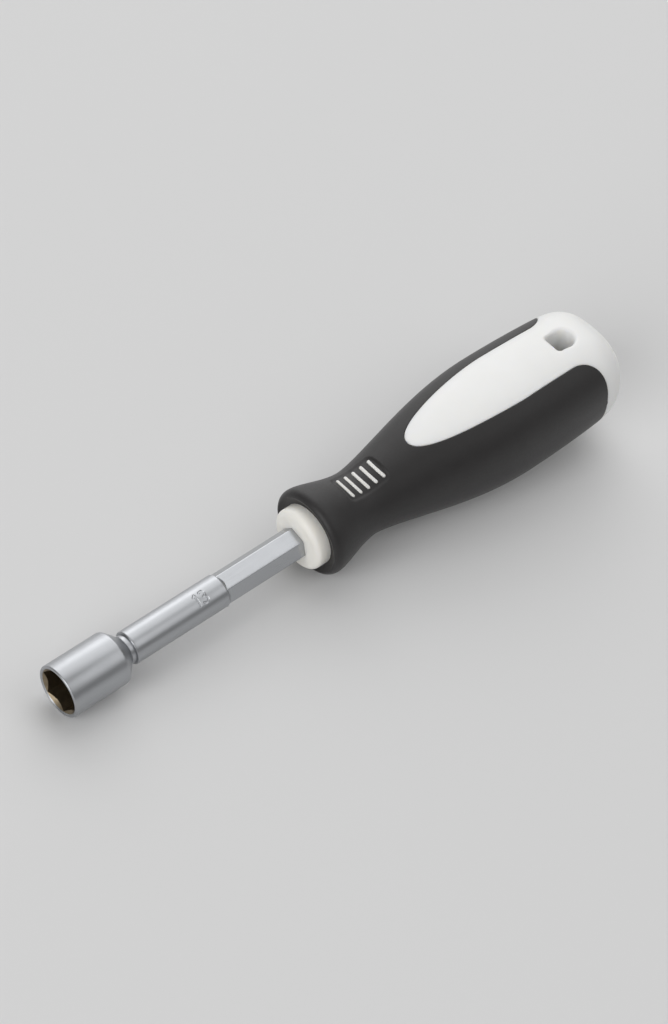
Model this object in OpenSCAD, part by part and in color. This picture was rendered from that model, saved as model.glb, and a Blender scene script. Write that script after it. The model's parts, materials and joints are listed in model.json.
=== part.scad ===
// Nut driver with a hexagon socket blade and a moulded two-colour handle.
// Millimetres, +Z up. The tool lies on z = 0 on its socket's edge and its palm swell, socket towards -X.

/* [Socket] */
// Nut size that the socket takes, across the flats
nut_af = 13; // [10:0.5:13.5]
// Play of the nut between two opposite flats
nut_play = 0.2; // [0.1:0.05:0.4]
// Outside diameter of the socket
socket_d = 17.5; // [17:0.1:19]
// Length of the socket's straight side
socket_len = 20.5; // [18:0.5:26]
// Chamfer on the socket's outer front edge
socket_edge = 0.5; // [0.2:0.05:0.6]
// Depth of the hexagon inside the socket
hex_depth = 12; // [8:0.5:14]
// Diameter of the hole for a stud's end, behind the hexagon
stud_d = 9; // [6:0.25:10]
// Depth of the stud hole behind the hexagon
stud_depth = 8; // [5:0.5:9]

/* [Blade] */
// Length of the cone behind the socket
shoulder_len = 4; // [3:0.5:8]
// Diameter of the groove between the cone and the barrel
groove_d = 9.4; // [8:0.1:10.5]
// Width of that groove
groove_len = 1.5; // [0.5:0.25:4]
// Diameter of the round barrel
barrel_d = 11; // [10.9:0.1:13]
// Length of the round barrel
barrel_len = 37; // [20:1:45]
// Chamfer on the barrel's front edge
barrel_edge = 0.5; // [0.2:0.1:0.7]
// Length of the cone that ends the barrel
barrel_cone = 2; // [1:0.25:4]
// Width of the shank across its flats
shank_af = 9.4; // [8:0.1:9.5]
// Turn of the shank's hexagon about the blade's axis
shank_turn = -16; // [-30:0.5:30]
// Length of bare shank between barrel and collar
shank_len = 28.25; // [20:0.25:60]
// Length of shank that is held in the handle
tang_len = 65; // [40:1:70]

/* [Collar] */
// Diameter of the collar in front of the grip
collar_d = 20.6; // [19:0.2:23]
// Height of the collar in front of the grip's face
collar_len = 4.75; // [2.5:0.25:6]
// Radius of the collar's front edge
collar_round = 1.8; // [0.5:0.1:2.4]

/* [Handle] */
// Length of the handle from the grip's front face
handle_len = 120.5; // [100:0.5:140]
// Width of the grip's front face
lip_w = 26; // [24:0.5:28]
// Width of the flare behind the front face
flare_w = 29.4; // [28.5:0.1:32]
// Distance of the flare's widest place from the front face
flare_at = 2.5; // [1:0.25:5]
// Width of the waist
waist_w = 22; // [20.5:0.1:24]
// Distance of the waist from the front face
waist_at = 20.5; // [17:0.5:24]
// Width of the palm swell
palm_w = 39; // [36:0.1:44]
// Distance of the palm's widest place from the front face
palm_at = 78; // [70:1:90]
// Height of the palm's section as a share of its width
palm_flat = 0.96; // [0.9:0.01:1]
// Squareness of the palm's section, 2 being an ellipse
palm_square = 2.4; // [2.2:0.05:3]
// Width that the palm narrows to at the rear end
tail_w = 35; // [33:0.5:38]
// Length of the rounded rear end
tail_round = 17; // [14:0.5:24]
// Fullness of the rounded rear end, 2 being an ellipse
tail_full = 4; // [2:0.25:5]

/* [Grip] */
// Thickness of the grip over the waist
grip_wall = 2.8; // [2:0.1:3]
// Distance of the tongue's tip from the front face
tongue_at = 40; // [38:0.5:48]
// Greatest width of the tongue
tongue_w = 21.4; // [17:0.2:25]
// Distance of the tongue's greatest width from the front face
tongue_wide_at = 79; // [72:1:90]
// Width of the tongue where its edges turn outwards
tongue_tail_w = 20.6; // [16:0.2:24]
// Length of the bare rear end behind the side panels
tail_bare = 11; // [8:0.5:13]
// Radius of the panels' rear corners
panel_corner = 9.5; // [6:0.5:10]

/* [Bars] */
// Number of bars on each side of the waist
bar_count = 5; // [3:1:6]
// Distance from one bar to the next
bar_pitch = 3.1; // [2.8:0.1:3.6]
// Width of one bar
bar_w = 1; // [0.6:0.1:1.4]
// Length of one bar across the waist
bar_len = 8.2; // [6:0.2:10]
// Distance of the middle bar from the front face
bar_mid = 21; // [19:0.5:24]
// Depth of the sunk pad around the bars
pad_depth = 0.4; // [0.2:0.1:0.8]
// Margin of that pad around the bars
pad_margin = 1.5; // [1:0.1:2]

/* [Hang hole] */
// Distance of the hole's middle from the rear end
hole_in = 16.2; // [14:0.1:20]
// Length of the hole along the handle
hole_len = 8.6; // [8.2:0.2:11]
// Width of the hole
hole_w = 7.4; // [5:0.2:8]
// Radius of the hole's two front corners
hole_corner = 1.5; // [0.5:0.1:2.4]

/* [Hidden] */
$fn = 64;

// Amount by which a cutting shape passes the face that it cuts
over = 1;

// Stations along the blade, from the socket's mouth
groove_at = socket_len + shoulder_len;
barrel_at = groove_at + groove_len;
barrel_end = barrel_at + barrel_len;
collar_at = barrel_end + shank_len;
front = collar_at + collar_len;
socket_r = socket_d / 2;
barrel_r = barrel_d / 2;

// Stations along the handle, from the grip's front face
tail_at = handle_len - tail_round;
panel_end = handle_len - tail_bare;
hole_at = handle_len - hole_in;
core_r = waist_w / 2 - grip_wall;

// Points around one section of the handle, with a level facet below and above
ring_count = 44;
ring_steps = [for (i = [0:ring_count - 1]) (i + 0.5) * 360 / ring_count];

// Skew of the curves on both sides of the waist
flare_skew = 0.85;
palm_skew = 0.75;

// Fullness of the tongue's outline along and across the handle
tongue_full = [1.25, 0.9];

// Smooth step from 0 to 1
function ease(u) = let (c = min(max(u, 0), 1)) c * c * (3 - 2 * c);

// Share of the way from the waist to the palm
function swell(h) = h < waist_at ? 0 : ease(pow((h - waist_at) / (palm_at - waist_at), palm_skew));

// Share of the width that is left by the rounded rear end
function rounding(h) =
    h <= tail_at ? 1 : pow(max(0, 1 - pow((h - tail_at) / tail_round, tail_full)), 1 / tail_full);

// Half the handle's width, from the front face to the rear end
function half_w(h) =
    h < flare_at ? (lip_w + (flare_w - lip_w) * sqrt(1 - pow(1 - h / flare_at, 2))) / 2
    : h < waist_at ? (flare_w + (waist_w - flare_w)
        * ease(pow((h - flare_at) / (waist_at - flare_at), flare_skew))) / 2
    : h < palm_at ? (waist_w + (palm_w - waist_w) * swell(h)) / 2
    : (palm_w + (tail_w - palm_w) * pow((h - palm_at) / (handle_len - palm_at), 2)) / 2 * rounding(h);

// Half the handle's height, and the exponent of its section
function half_h(h) = half_w(h) * (1 + (palm_flat - 1) * swell(h));
function power(h) = 2 + (palm_square - 2) * swell(h);

// A rounded share: the sine or cosine raised to the section's exponent, with its sign kept
function bend(c, n) = sign(c) * pow(abs(c), 2 / n);

// Section of the handle at one station
function ring(h) = [
    for (a = ring_steps) [front + h, half_w(h) * bend(cos(a), power(h)), half_h(h) * bend(sin(a), power(h))]
];

// Depth of a section's level bottom facet below the axis
function low(h) = half_h(h) * bend(cos(180 / ring_count), power(h));

// Stations of the sections: closer together in the curves
stations = concat(
    [for (a = [0:30:90]) flare_at * (1 - cos(a))],
    [for (i = [1:7]) flare_at + (waist_at - flare_at) * i / 8],
    [for (i = [0:15]) waist_at + (palm_at - waist_at) * i / 16],
    [for (i = [0:5]) palm_at + (tail_at - palm_at) * i / 6],
    [for (a = [0:11:88]) tail_at + tail_round * pow(sin(a), 2 / tail_full)]
);

// Tilt at which the socket's edge and the palm both touch the ground
tilt = atan(max([for (h = stations) (low(h) - socket_r) / (front + h - socket_edge)]));
lift = socket_r * cos(tilt) - socket_edge * sin(tilt);

// Ends of the tilted tool along X
nose_x = -(socket_r - socket_edge) * sin(tilt);
rear_x = max([for (h = stations) (front + h) * cos(tilt) + low(h) * sin(tilt)]);

// Puts a piece that is drawn along its own axis into the tool's lying pose
module lying() {
    translate([-(nose_x + rear_x) / 2, 0, lift]) rotate([0, -tilt, 0]) children();
}

// Turns a shape drawn upwards so that it runs along the tool's axis, from a station
module along(s) {
    translate([s, 0, 0]) rotate([0, 90, 0]) children();
}

// Revolves an outline of [radius, station] points about the tool's axis
module turned(points) {
    along(0) rotate_extrude() polygon(points);
}

// Solid of the handle's whole outer form
module form() {
    n = ring_count;
    last = len(stations) - 1;
    polyhedron(
        points = [for (h = stations) each ring(h)],
        faces = concat(
            [[for (i = [n - 1:-1:0]) i]],
            [for (k = [0:last - 1], i = [0:n - 1]) [k * n + i, k * n + (i + 1) % n, (k + 1) * n + i]],
            [for (k = [0:last - 1], i = [0:n - 1])
                [k * n + (i + 1) % n, (k + 1) * n + (i + 1) % n, (k + 1) * n + i]],
            [[for (i = [0:n - 1]) last * n + i]]
        )
    );
}

// One edge of the tongue, from its tip to the outside of the rear corner
function tongue_edge() = concat(
    [for (a = [0:7.5:90]) [
        tongue_wide_at - (tongue_wide_at - tongue_at) * pow(cos(a), tongue_full[0]),
        tongue_w / 2 * pow(sin(a), tongue_full[1])
    ]],
    [for (a = [0:10:90]) [
        panel_end - panel_corner * (1 - sin(a)),
        tongue_tail_w / 2 + panel_corner * (1 - cos(a))
    ]],
    [[panel_end, palm_w]]
);

// Upright block that leaves the light moulding bare: both tongues and the rear end
module bare_block() {
    edge = tongue_edge();
    last = len(edge) - 1;
    rear = handle_len + over;
    translate([front, 0, -palm_w]) linear_extrude(2 * palm_w) polygon(concat(
        edge,
        [[rear, palm_w], [rear, -palm_w]],
        [for (i = [last:-1:1]) [edge[i][0], -edge[i][1]]]
    ));
}

// Outline of the core under the grip and the shell, from the front face to the side panels' rear edge
core_path = concat(
    [[core_r, front]],
    [for (i = [0:12]) let (h = waist_at + (panel_end - waist_at) * i / 12) [half_h(h) - grip_wall, front + h]],
    [[0, front + panel_end]]
);

// Waist bars, level with the grip's skin
module bars() {
    root = core_r / 2;
    intersection() {
        union() for (i = [0:bar_count - 1]) {
            mid = bar_mid + (i - (bar_count - 1) / 2) * bar_pitch;
            fore = mid - bar_w / 2;
            aft = mid + bar_w / 2;
            turned([
                [root, front + fore],
                [half_h(fore), front + fore],
                [half_h(aft), front + aft],
                [root, front + aft]
            ]);
        }
        translate([front, -bar_len / 2, -palm_w]) cube([handle_len, bar_len, 2 * palm_w]);
    }
}

// Sunk pads around the bars
module pads() {
    half = (bar_count - 1) / 2 * bar_pitch + bar_w / 2 + pad_margin;
    wide = bar_len / 2 + pad_margin;
    steps = 8;
    path = [for (i = [0:steps]) bar_mid - half - over + 2 * (half + over) * i / steps];
    intersection() {
        turned(concat(
            [for (h = path) [half_h(h) - pad_depth, front + h]],
            [for (i = [steps:-1:0]) [half_h(path[i]) + over, front + path[i]]]
        ));
        translate([front + bar_mid, 0, -palm_w]) linear_extrude(2 * palm_w) union() {
            square([2 * (half - pad_margin), 2 * wide], center = true);
            square([2 * half, 2 * (wide - pad_margin)], center = true);
            for (x = [-1, 1], y = [-1, 1])
                translate([x * (half - pad_margin), y * (wide - pad_margin)]) circle(pad_margin);
        }
    }
}

// Hexagon bar along the tool's axis
module hexagon(af, from, to) {
    along(from) rotate(shank_turn) cylinder(h = to - from, r = af / 2 / cos(30), $fn = 6);
}

// Hang hole: straight towards the socket, round at the rear
module hang_hole() {
    fore = hole_at - hole_len / 2;
    mid = hole_at + hole_len / 2 - hole_w / 2;
    translate([front, 0, -palm_w]) linear_extrude(2 * palm_w) union() {
        translate([mid, 0]) circle(hole_w / 2);
        translate([fore + hole_corner, -hole_w / 2]) square([mid - fore - hole_corner, hole_w]);
        translate([fore, hole_corner - hole_w / 2]) square([mid - fore, hole_w - 2 * hole_corner]);
        for (y = [-1, 1]) translate([fore + hole_corner, y * (hole_w / 2 - hole_corner)]) circle(hole_corner);
    }
}

// Steel blade: socket, grooved neck, round barrel and hexagon shank in one forging
module blade() {
    socket_af = nut_af + nut_play;
    lead_r = socket_af / 2 / cos(30);
    color([0.75, 0.75, 0.76]) lying() difference() {
        union() {
            turned([
                [0, 0],
                [socket_r - socket_edge, 0],
                [socket_r, socket_edge],
                [socket_r, socket_len],
                [groove_d / 2, groove_at],
                [groove_d / 2, barrel_at],
                [barrel_r - barrel_edge, barrel_at],
                [barrel_r, barrel_at + barrel_edge],
                [barrel_r, barrel_end - barrel_cone],
                [shank_af / 2 - barrel_edge, barrel_end],
                [0, barrel_end]
            ]);
            hexagon(shank_af, barrel_end - barrel_cone - over, collar_at + tang_len);
        }
        hexagon(socket_af, -over, hex_depth);
        along(-over) cylinder(h = over + hex_depth + stud_depth, d = stud_d);
        turned([
            [0, -over],
            [lead_r + over, -over],
            [lead_r - over / 2, over / 2],
            [0, over / 2]
        ]);
    }
}

// Inner light moulding around the shank: collar, waist bars and the body under the grip
module handle_core() {
    r = collar_d / 2;
    color([0.93, 0.91, 0.86]) lying() difference() {
        union() {
            turned(concat(
                [[0, collar_at]],
                [for (a = [0:15:90]) [
                    r - collar_round * (1 - sin(a)),
                    collar_at + collar_round * (1 - cos(a))
                ]],
                [[r, front]],
                core_path
            ));
            bars();
        }
        hexagon(shank_af, collar_at - over, collar_at + tang_len);
        hang_hole();
    }
}

// Outer light moulding over the core: both tongues and the rear end, with the hang hole
module handle_shell() {
    color([0.95, 0.95, 0.95]) lying() difference() {
        intersection() {
            form();
            bare_block();
        }
        turned(concat([[0, front]], core_path));
        hang_hole();
    }
}

// Dark soft grip moulded over the core and the shell
module grip() {
    color([0.14, 0.13, 0.13]) lying() difference() {
        form();
        bare_block();
        turned(concat([[0, front - over], [core_r, front - over]], core_path));
        bars();
        pads();
    }
}

blade();
handle_core();
handle_shell();
grip();
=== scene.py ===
"""Looks of a nut driver: a chromed hexagon socket blade in a white handle with a black soft grip.

Shapes are worked out in the tool's own axes, in millimetres: s runs along the blade from the socket's mouth
to the handle's rear end, y across it to the far side, and z away from the ground. Along the handle, h is
counted from the grip's front face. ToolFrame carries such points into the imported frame.
"""

import json
import logging
from dataclasses import dataclass, field
from enum import Enum
from typing import Any

import bmesh
import bpy
import numpy as np
from mathutils import Matrix, Vector


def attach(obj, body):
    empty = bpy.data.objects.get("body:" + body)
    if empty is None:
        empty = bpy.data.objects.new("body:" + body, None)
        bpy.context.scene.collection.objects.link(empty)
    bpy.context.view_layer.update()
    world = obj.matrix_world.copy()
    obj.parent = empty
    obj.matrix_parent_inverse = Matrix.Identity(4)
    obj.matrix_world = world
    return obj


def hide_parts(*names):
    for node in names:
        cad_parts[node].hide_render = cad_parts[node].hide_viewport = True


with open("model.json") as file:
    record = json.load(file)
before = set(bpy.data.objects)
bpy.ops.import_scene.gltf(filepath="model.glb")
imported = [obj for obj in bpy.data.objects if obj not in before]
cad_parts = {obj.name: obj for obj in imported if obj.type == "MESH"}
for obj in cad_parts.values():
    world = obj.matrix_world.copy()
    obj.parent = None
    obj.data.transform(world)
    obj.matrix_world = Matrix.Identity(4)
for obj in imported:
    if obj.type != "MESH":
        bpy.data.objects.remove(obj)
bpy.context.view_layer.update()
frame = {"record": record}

LOG = logging.getLogger("nut_driver")
BODY = "root"
MM = 0.001
WELD_MM = 0.002
FULL_TURN = 2.0 * np.pi
RIGHT_ANGLE = np.pi / 2
MIRROR_Z = np.array([1.0, 1.0, -1.0])
WEAR_ZONE = "wear_zone"
NOISE = "ShaderNodeTexNoise"
MATH = "ShaderNodeMath"
MIX = "ShaderNodeMix"

Array = np.ndarray
# Width of a pattern's grains in millimetres, and how much finer detail it carries
Pattern = tuple[float, float]


class Face(Enum):
    """The two broad faces of the handle, which carry the tongues and the bars."""

    UPPER = 1.0
    LOWER = -1.0


class Half(Enum):
    """The two sides of the handle that the grip covers."""

    FAR = 1.0
    NEAR = -1.0


class Wear(Enum):
    """State of the blade's surface, kept on its vertices for the finish."""

    SATIN = 0.0
    LIP = 0.4
    DRAWN = 1.0
    BARE = 2.0


# Numbers and curves


def ease(u: Array) -> Array:
    """Smooth step from 0 to 1: 3u^2 - 2u^3 between u = 0 and u = 1."""
    c = np.clip(u, 0.0, 1.0)
    return c * c * (3.0 - 2.0 * c)


def bend(c: Array, power: Array) -> Array:
    """Coordinate of a superellipse: |c| to the power 2/n, with the sign of c."""
    return np.sign(c) * np.abs(c) ** (2.0 / power)


def quarter(count: int) -> Array:
    """Evenly spaced angles from 0 to a right angle."""
    return np.linspace(0.0, RIGHT_ANGLE, count)


def joined(*columns: Array | float) -> Array:
    """Points from their coordinates, which are first spread to one shape."""
    return np.stack(np.broadcast_arrays(*columns), axis=-1)


def spread(columns: int, *blocks: Array) -> Array:
    """Rows of a grid from blocks of rows; a block of one column is spread over all columns."""
    return np.concatenate([np.broadcast_to(block, (len(block), columns)) for block in blocks])


def stretches(*stops: tuple[float, int]) -> Array:
    """List of places, evenly spaced within each stretch.

    Args:
        stops: Place where a stretch ends and the number of steps in it; the first has no steps.

    Returns:
        All places, each once.
    """
    parts = [np.array([stops[0][0]])]
    for (start, _), (end, steps) in zip(stops, stops[1:]):
        parts.append(np.linspace(start, end, steps + 1)[1:])
    return np.concatenate(parts)


def resampled(path: Array, share: Array) -> Array:
    """Points of a polyline at given shares of its length.

    Args:
        path: Points of the polyline, one a row.
        share: Shares from 0 to 1.

    Returns:
        One point for each share.
    """
    steps = np.linalg.norm(np.diff(path, axis=0), axis=1)
    run = np.concatenate([[0.0], np.cumsum(steps)])
    return np.stack([np.interp(share * run[-1], run, column) for column in path.T], axis=1)


def rounded(corners: list[tuple[float, float, float]], steps: int = 7) -> Array:
    """Outline with its corners turned into arcs.

    Each corner's arc touches both legs at radius / tan(half angle) from the corner.

    Args:
        corners: Rows of (along, radius of the outline there, radius of the corner's arc).
        steps: Steps of one arc.

    Returns:
        Points (along, radius) of the outline.
    """
    straight = 0.499 * np.pi
    out = [np.array(corners[0][:2])[None]]
    for before, here, after in zip(corners, corners[1:], corners[2:]):
        corner = np.array(here[:2])
        to_before = np.array(before[:2]) - corner
        to_after = np.array(after[:2]) - corner
        a, b = (leg / np.linalg.norm(leg) for leg in (to_before, to_after))
        half = np.arccos(np.clip(a @ b, -1.0, 1.0)) / 2.0
        if here[2] == 0.0 or half > straight:
            out.append(corner[None])
            continue
        middle = corner + (a + b) / np.linalg.norm(a + b) * here[2] / np.sin(half)
        reach = here[2] / np.tan(half)
        start, end = corner + a * reach - middle, corner + b * reach - middle
        turn = np.linspace(0.0, 1.0, steps + 1)[:, None]
        whole = np.pi - 2.0 * half
        arc = (np.sin((1.0 - turn) * whole) * start + np.sin(turn * whole) * end) / np.sin(whole)
        out.append(middle + arc)
    out.append(np.array(corners[-1][:2])[None])
    return np.concatenate(out)


def corner_radius(across_flats: float) -> float:
    """Distance of a sharp hexagon's corners from its middle."""
    return across_flats / 2.0 / np.cos(np.pi / 6.0)


def hexagon(angle: Array, across_flats: float, corner_share: float) -> Array:
    """Radius of a hexagon bar at an angle from one of its corners.

    A flat lies at af/2 / cos(angle from its middle); a high power mean with a circle takes the sharpness off.

    Args:
        angle: Angles from a corner, in radians.
        across_flats: Width across the flats.
        corner_share: Radius of the rounding circle as a share of the corner's radius.

    Returns:
        Radii.
    """
    sixth = np.pi / 3.0
    power = 90.0
    from_flat = np.mod(angle, sixth) - sixth / 2.0
    flat = across_flats / 2.0 / np.cos(from_flat)
    circle = corner_radius(across_flats) * corner_share
    return (flat ** -power + circle ** -power) ** (-1.0 / power)


def revolved(s: Array, r: Array, around: Array) -> Array:
    """Points about the blade's axis: y = r sin(a), z = r cos(a), with a from straight up to the far side."""
    return joined(s[:, None], r * np.sin(around), r * np.cos(around))


def nearest(points: Array, targets: Array) -> Array:
    """Distance to the nearest target: the root of the least |p|^2 + |t|^2 - 2 p.t, block by block.

    Args:
        points: Points, one a row.
        targets: Targets, one a row.

    Returns:
        One distance for each point.
    """
    block_size = 1000
    out = []
    for block in np.array_split(points, max(1, len(points) // block_size)):
        square = (block ** 2).sum(1)[:, None] + (targets ** 2).sum(1) - 2.0 * block @ targets.T
        out.append(np.sqrt(np.clip(square.min(1), 0.0, None)))
    return np.concatenate(out)


# Meshes


@dataclass(frozen=True)
class ToolFrame:
    """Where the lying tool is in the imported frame, read from its nut socket's mount.

    Attributes:
        mouth: Middle of the socket's mouth, in metres.
        axes: Rows of unit vectors along the blade, to the far side, and away from the ground.
    """

    mouth: Array
    axes: Array

    @classmethod
    def from_record(cls, record: dict[str, Any]) -> "ToolFrame":
        """Reads the mount whose axis points out of the socket.

        Args:
            record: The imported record.

        Returns:
            The tool's frame.
        """
        mount = next(m for m in record["mounts"] if m["name"] == "nut_socket")
        along = -np.array(mount["axis"], float)
        along /= np.linalg.norm(along)
        side = np.array([0.0, 1.0, 0.0])
        return cls(np.array(mount["pos_m"], float), np.stack([along, side, np.cross(along, side)]))

    @property
    def tilt(self) -> float:
        """Slope of the blade against the ground, in radians."""
        return np.arcsin(self.axes[0, 2])

    def place(self, points: Array) -> Array:
        """Turns points (s, y, z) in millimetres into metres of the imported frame."""
        return self.mouth + points @ self.axes * MM


@dataclass
class MeshPlan:
    """Vertices of one piece in the tool's own axes, its faces, and a number for each vertex, in blocks."""

    points: list[Array] = field(default_factory=list)
    quads: list[Array] = field(default_factory=list)
    values: list[Array] = field(default_factory=list)
    count: int = 0

    def grid(
        self,
        points: Array,
        ring_rows: bool = False,
        ring_columns: bool = False,
        value: Array | None = None,
    ) -> Array:
        """Adds a grid of vertices and the quads between them.

        Args:
            points: Rows by columns by 3.
            ring_rows: Whether the last row joins the first.
            ring_columns: Whether the last column joins the first.
            value: One number for each vertex; 0 where it isn't given.

        Returns:
            The vertices' numbers, rows by columns.
        """
        rows, columns = points.shape[:2]
        index = self.count + np.arange(rows * columns).reshape(rows, columns)
        self.points.append(points.reshape(-1, 3))
        self.values.append(np.zeros(rows * columns) if value is None else value.reshape(-1))
        self.count += rows * columns
        whole = np.concatenate([index, index[:1]]) if ring_rows else index
        whole = np.concatenate([whole, whole[:, :1]], axis=1) if ring_columns else whole
        self.strip(whole)
        return index

    def strip(self, index: Array) -> None:
        """Adds the quads between neighbouring rows and columns of vertex numbers."""
        corners = index[:-1, :-1], index[1:, :-1], index[1:, 1:], index[:-1, 1:]
        self.quads.append(np.stack(corners, axis=-1).reshape(-1, 4))

    def build(self, name: str, tool: ToolFrame, sharp_deg: float, attribute: str = "") -> bpy.types.Object:
        """Makes the object: welds seams and poles, turns faces outwards and marks the sharp edges.

        Args:
            name: The piece's name.
            tool: The tool's frame.
            sharp_deg: Angle between faces above which an edge is sharp.
            attribute: Name under which the vertices' numbers are kept, or nothing.

        Returns:
            The object, at the origin.
        """
        mesh = bpy.data.meshes.new(name)
        places = tool.place(np.concatenate(self.points))
        mesh.from_pydata(places.tolist(), [], np.concatenate(self.quads).tolist())
        if attribute:
            layer = mesh.attributes.new(attribute, "FLOAT", "POINT")
            layer.data.foreach_set("value", np.concatenate(self.values).astype(np.float32))
        shape = bmesh.new()
        shape.from_mesh(mesh)
        bmesh.ops.remove_doubles(shape, verts=shape.verts, dist=WELD_MM * MM)
        bmesh.ops.dissolve_degenerate(shape, edges=shape.edges, dist=WELD_MM * MM)
        bmesh.ops.recalc_face_normals(shape, faces=shape.faces)
        shape.to_mesh(mesh)
        shape.free()
        mesh.polygons.foreach_set("use_smooth", np.ones(len(mesh.polygons), bool))
        mesh.set_sharp_from_angle(angle=np.radians(sharp_deg))
        mesh.update()
        piece = bpy.data.objects.new(name, mesh)
        bpy.context.scene.collection.objects.link(piece)
        return piece


# Finishes


def linear(colour: str) -> tuple[float, float, float, float]:
    """Turns an sRGB hex colour, such as C0C0C0, into linear RGBA by sRGB's own curve.

    Args:
        colour: Six hex digits.

    Returns:
        Red, green, blue and a full alpha.
    """
    srgb = np.array([int(colour[i:i + 2], 16) for i in (0, 2, 4)]) / 255.0
    rgb = np.where(srgb <= 0.04045, srgb / 12.92, ((srgb + 0.055) / 1.055) ** 2.4)
    return (*rgb.tolist(), 1.0)


def plug(tree: bpy.types.NodeTree, node: bpy.types.Node, inputs: dict[str | int, Any]) -> None:
    """Fills a node's inputs.

    Args:
        tree: The node's tree.
        node: The node.
        inputs: A node, of which the first output is taken, an output socket or a value, by name or number.
    """
    for name, value in inputs.items():
        source = value.outputs[0] if isinstance(value, bpy.types.Node) else value
        if isinstance(source, bpy.types.NodeSocket):
            tree.links.new(source, node.inputs[name])
        else:
            node.inputs[name].default_value = source


def add_node(
    tree: bpy.types.NodeTree, kind: str, inputs: dict[str | int, Any] | None = None, **settings: Any
) -> bpy.types.Node:
    """Adds one shader node.

    Args:
        tree: The material's tree.
        kind: The node's type name.
        inputs: What fills its inputs, by name or number.
        settings: Properties of the node.

    Returns:
        The node.
    """
    node = tree.nodes.new(kind)
    for name, value in settings.items():
        setattr(node, name, value)
    plug(tree, node, inputs or {})
    return node


def blank_material(name: str) -> tuple[bpy.types.Material, bpy.types.NodeTree, bpy.types.Node]:
    """Starts a material with one shader.

    Args:
        name: The material's name.

    Returns:
        The material, its tree and its shader.
    """
    material = bpy.data.materials.new(name)
    material.use_nodes = True
    tree = material.node_tree
    tree.nodes.clear()
    shader = add_node(tree, "ShaderNodeBsdfPrincipled")
    add_node(tree, "ShaderNodeOutputMaterial", {"Surface": shader.outputs["BSDF"]})
    return material, tree, shader


def per_mm(size: float) -> float:
    """Scale of a pattern on Object coordinates, in metres, whose grains are this many millimetres wide."""
    return 1.0 / (size * MM)


@dataclass(frozen=True)
class SatinChrome:
    """Chrome plate over blasted forged steel.

    It gives the eye a soft, slightly cloudy reflection. The shank's flats are drawn, so they are brighter,
    with faint lines along the blade, whose slope is tilt. The inside of the socket is bare oiled steel, brown
    and dull. Grain and lines are finer on a real tool, and are drawn this coarse to show in the render.
    """

    tilt: float
    plate: str = "B0B2B5"
    bare: str = "A3957C"
    oil: str = "6A5F50"
    satin: float = 0.3
    drawn: float = 0.1
    cloud: Pattern = (6.0, 3.0)
    grain: Pattern = (0.35, 2.0)
    stain: Pattern = (1.4, 4.0)
    line_mm: tuple[float, float, float] = (16.0, 0.55, 0.55)
    line_detail: float = 3.0
    cloud_rough: float = 0.1
    line_rough: float = 0.16
    bare_rough: float = 0.15
    line_relief: float = 1.6
    relief: float = 0.08
    relief_mm: float = 0.02

    def material(self) -> bpy.types.Material:
        """Builds the material, which reads the state of the surface from the vertices.

        Returns:
            The material.
        """
        material, tree, shader = blank_material("chrome_plate_on_blasted_steel")
        place = add_node(tree, "ShaderNodeTexCoord").outputs["Object"]
        zone = add_node(tree, "ShaderNodeAttribute", attribute_name=WEAR_ZONE).outputs["Fac"]
        past_drawn = {0: zone, 1: Wear.DRAWN.value}
        bare = add_node(tree, MATH, past_drawn, operation="SUBTRACT", use_clamp=True)
        flats = add_node(tree, MATH, past_drawn, operation="MINIMUM")
        cloud, grain, stain = (
            add_node(tree, NOISE, {"Vector": place, "Scale": per_mm(size), "Detail": detail})
            for size, detail in (self.cloud, self.grain, self.stain)
        )
        line_size = tuple(mm * MM for mm in self.line_mm)
        turned = add_node(
            tree,
            "ShaderNodeMapping",
            {"Vector": place, "Rotation": (0.0, -self.tilt, 0.0), "Scale": line_size},
            vector_type="TEXTURE",
        )
        lines = add_node(tree, NOISE, {"Vector": turned, "Scale": 1.0, "Detail": self.line_detail})
        drawn = add_node(tree, MATH, {0: lines, 1: flats}, operation="MULTIPLY")
        rough = add_node(
            tree, "ShaderNodeMapRange", {"Value": flats, "To Min": self.satin, "To Max": self.drawn}
        )
        for part, share in ((cloud, self.cloud_rough), (drawn, self.line_rough), (bare, self.bare_rough)):
            rough = add_node(tree, MATH, {0: part, 1: share, 2: rough}, operation="MULTIPLY_ADD")
        oiled = add_node(
            tree, MIX, {"Factor": stain, 6: linear(self.oil), 7: linear(self.bare)}, data_type="RGBA"
        ).outputs[2]
        colour = add_node(
            tree, MIX, {"Factor": bare, 6: linear(self.plate), 7: oiled}, data_type="RGBA"
        ).outputs[2]
        height = add_node(tree, MATH, {0: drawn, 1: self.line_relief, 2: grain}, operation="MULTIPLY_ADD")
        bump = add_node(
            tree,
            "ShaderNodeBump",
            {"Height": height, "Strength": self.relief, "Distance": self.relief_mm * MM},
        )
        plug(tree, shader, {"Base Color": colour, "Roughness": rough, "Normal": bump, "Metallic": 1.0})
        return material


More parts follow.
